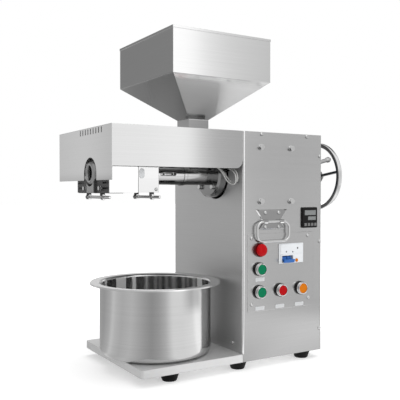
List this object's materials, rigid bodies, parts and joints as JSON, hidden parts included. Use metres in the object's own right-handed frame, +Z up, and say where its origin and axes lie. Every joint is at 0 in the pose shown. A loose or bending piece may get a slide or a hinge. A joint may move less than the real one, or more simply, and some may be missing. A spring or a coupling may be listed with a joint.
{
  "type": "screw oil press",
  "caption": "Bench-top electric seed oil press: hopper over a horizontal screw barrel under a steel hood, oil pot on a tray, control cabinet, handwheel.",
  "frame": {"origin": "middle of the whole footprint on the floor, under the rubber feet", "axes": "+X from the press head towards the handwheel, along the control face; +Y from the control face to the rear; +Z up"},
  "size_m": [0.6662, 0.3322, 0.7175],
  "materials": {
    "tray_steel": "brushed",
    "cabinet_steel": "brushed",
    "hood_steel": "brushed",
    "plate_steel": "satin",
    "hopper_steel": "satin",
    "pot_steel": "polished",
    "guard_steel": "polished",
    "press_steel": "machined",
    "nozzle_steel": "machined",
    "gear_steel": "machined",
    "band_steel": "satin",
    "handle_steel": "polished",
    "fastener": "plated",
    "chrome": "polished",
    "grip_chrome": "polished",
    "bezel_chrome": "polished",
    "cast_iron": "as cast, oiled",
    "motor_paint": "satin",
    "rubber": "matte",
    "black_plastic": "matte",
    "key_plastic": "matte",
    "display": "satin",
    "white_plastic": "satin",
    "blue_plastic": "satin",
    "green_plastic": "satin",
    "red_plastic": "satin",
    "orange_plastic": "satin",
    "sticker": "matte",
    "lead_sheath": "matte"
  },
  "bodies": {
    "cabinet": {"base_tray": "tray_steel", "rubber_feet": "rubber", "foot_screws": "fastener", "cabinet_shell": "cabinet_steel", "side_cover": "cabinet_steel", "casing_screws": "fastener", "control_plate": "plate_steel", "controller_body": "black_plastic", "controller_displays": "display", "button_gaskets": "black_plastic", "button_bezels": "bezel_chrome", "stop_base": "black_plastic", "breaker_body": "white_plastic", "label_plates": "sticker", "handle_plates": "handle_steel", "hood": "hood_steel", "feed_chute": "press_steel", "barrel_flange": "press_steel", "press_bolts": "fastener", "press_barrel": "press_steel", "press_cage": "press_steel", "cake_head": "press_steel", "heater_band": "band_steel", "heater_lead_front": "lead_sheath", "heater_lead_rear": "lead_sheath", "head_bracket": "cast_iron", "sleeve_clamp": "cast_iron", "oil_guards": "guard_steel", "tie_bolts": "fastener", "bearings": "gear_steel", "gearbox_housing": "cast_iron", "gearbox_cover": "cast_iron", "gearbox_bolts": "fastener", "motor_body": "motor_paint", "fan_cowl": "motor_paint", "cable_gland": "black_plastic"},
    "drive": {"motor_shaft": "gear_steel", "motor_fan": "black_plastic", "handwheel": "chrome", "wheel_nut": "fastener"},
    "grip": {"wheel_grip": "grip_chrome"},
    "layshaft": {"layshaft": "gear_steel"},
    "screw": {"press_screw": "press_steel", "output_gear": "gear_steel"},
    "nozzle": {"cake_nozzle": "nozzle_steel"},
    "hopper": {"hopper": "hopper_steel"},
    "pot": {"oil_pot": "pot_steel"},
    "bail_front": {"bail_front": "chrome"},
    "bail_rear": {"bail_rear": "chrome"},
    "stop_button": {"stop_button": "red_plastic"},
    "button_green_upper": {"button_green_upper": "green_plastic"},
    "button_green_lower": {"button_green_lower": "green_plastic"},
    "button_red": {"button_red": "red_plastic"},
    "button_orange": {"button_orange": "orange_plastic"},
    "key_1": {"key_1": "key_plastic"},
    "key_2": {"key_2": "key_plastic"},
    "key_3": {"key_3": "key_plastic"},
    "key_4": {"key_4": "key_plastic"},
    "toggle": {"breaker_toggle": "blue_plastic"},
    "test_button": {"breaker_test_button": "orange_plastic"}
  },
  "joints": [
    {"name": "drive_spin", "type": "hinge", "parent": "cabinet", "child": "drive", "pos_m": [0.17435, -0.03825, 0.425], "axis": [1, 0, 0], "continuous": true},
    {"name": "grip_spin", "type": "hinge", "parent": "drive", "child": "grip", "pos_m": [0.28735, -0.03338, 0.45966], "axis": [0.9703, 0, 0.2419], "continuous": true},
    {"name": "layshaft_spin", "type": "hinge", "parent": "cabinet", "child": "layshaft", "pos_m": [0.06435, 0.02175, 0.425], "axis": [1, 0, 0], "continuous": true},
    {"name": "screw_spin", "type": "hinge", "parent": "cabinet", "child": "screw", "pos_m": [0.02435, -0.03825, 0.425], "axis": [1, 0, 0], "continuous": true},
    {"name": "nozzle_turn", "type": "hinge", "parent": "cabinet", "child": "nozzle", "pos_m": [-0.31565, -0.03825, 0.425], "axis": [-1, 0, 0], "range_deg": [0, 270]},
    {"name": "hopper_lift", "type": "slide", "parent": "cabinet", "child": "hopper", "axis": [0, 0, 1], "range_m": [0, 0.12]},
    {"name": "pot_pull", "type": "slide", "parent": "cabinet", "child": "pot", "axis": [0, -1, 0], "range_m": [0, 0.35]},
    {"name": "bail_front_swing", "type": "hinge", "parent": "cabinet", "child": "bail_front", "pos_m": [0.05085, -0.15725, 0.321], "axis": [-1, 0, 0], "range_deg": [0, 100]},
    {"name": "bail_rear_swing", "type": "hinge", "parent": "cabinet", "child": "bail_rear", "pos_m": [0.05085, 0.15875, 0.321], "axis": [1, 0, 0], "range_deg": [0, 100]},
    {"name": "stop_press", "type": "slide", "parent": "cabinet", "child": "stop_button", "axis": [0, 1, 0], "range_m": [0, 0.004], "stiffness_N_per_m": 600},
    {"name": "green_upper_press", "type": "slide", "parent": "cabinet", "child": "button_green_upper", "axis": [0, 1, 0], "range_m": [0, 0.0025], "stiffness_N_per_m": 500},
    {"name": "green_lower_press", "type": "slide", "parent": "cabinet", "child": "button_green_lower", "axis": [0, 1, 0], "range_m": [0, 0.0025], "stiffness_N_per_m": 500},
    {"name": "red_press", "type": "slide", "parent": "cabinet", "child": "button_red", "axis": [0, 1, 0], "range_m": [0, 0.0025], "stiffness_N_per_m": 500},
    {"name": "orange_press", "type": "slide", "parent": "cabinet", "child": "button_orange", "axis": [0, 1, 0], "range_m": [0, 0.0025], "stiffness_N_per_m": 500},
    {"name": "key_1_press", "type": "slide", "parent": "cabinet", "child": "key_1", "axis": [0, 1, 0], "range_m": [0, 0.0007], "stiffness_N_per_m": 400},
    {"name": "key_2_press", "type": "slide", "parent": "cabinet", "child": "key_2", "axis": [0, 1, 0], "range_m": [0, 0.0007], "stiffness_N_per_m": 400},
    {"name": "key_3_press", "type": "slide", "parent": "cabinet", "child": "key_3", "axis": [0, 1, 0], "range_m": [0, 0.0007], "stiffness_N_per_m": 400},
    {"name": "key_4_press", "type": "slide", "parent": "cabinet", "child": "key_4", "axis": [0, 1, 0], "range_m": [0, 0.0007], "stiffness_N_per_m": 400},
    {"name": "toggle_swing", "type": "hinge", "parent": "cabinet", "child": "toggle", "pos_m": [0.09285, -0.14825, 0.2363], "axis": [-1, 0, 0], "range_deg": [0, 40]},
    {"name": "test_press", "type": "slide", "parent": "cabinet", "child": "test_button", "axis": [0, 1, 0], "range_m": [0, 0.002], "stiffness_N_per_m": 300}
  ],
  "couplings": [
    {"joint": "layshaft_spin", "follows": "drive_spin", "ratio": -0.2},
    {"joint": "screw_spin", "follows": "drive_spin", "ratio": 0.05}
  ]
}
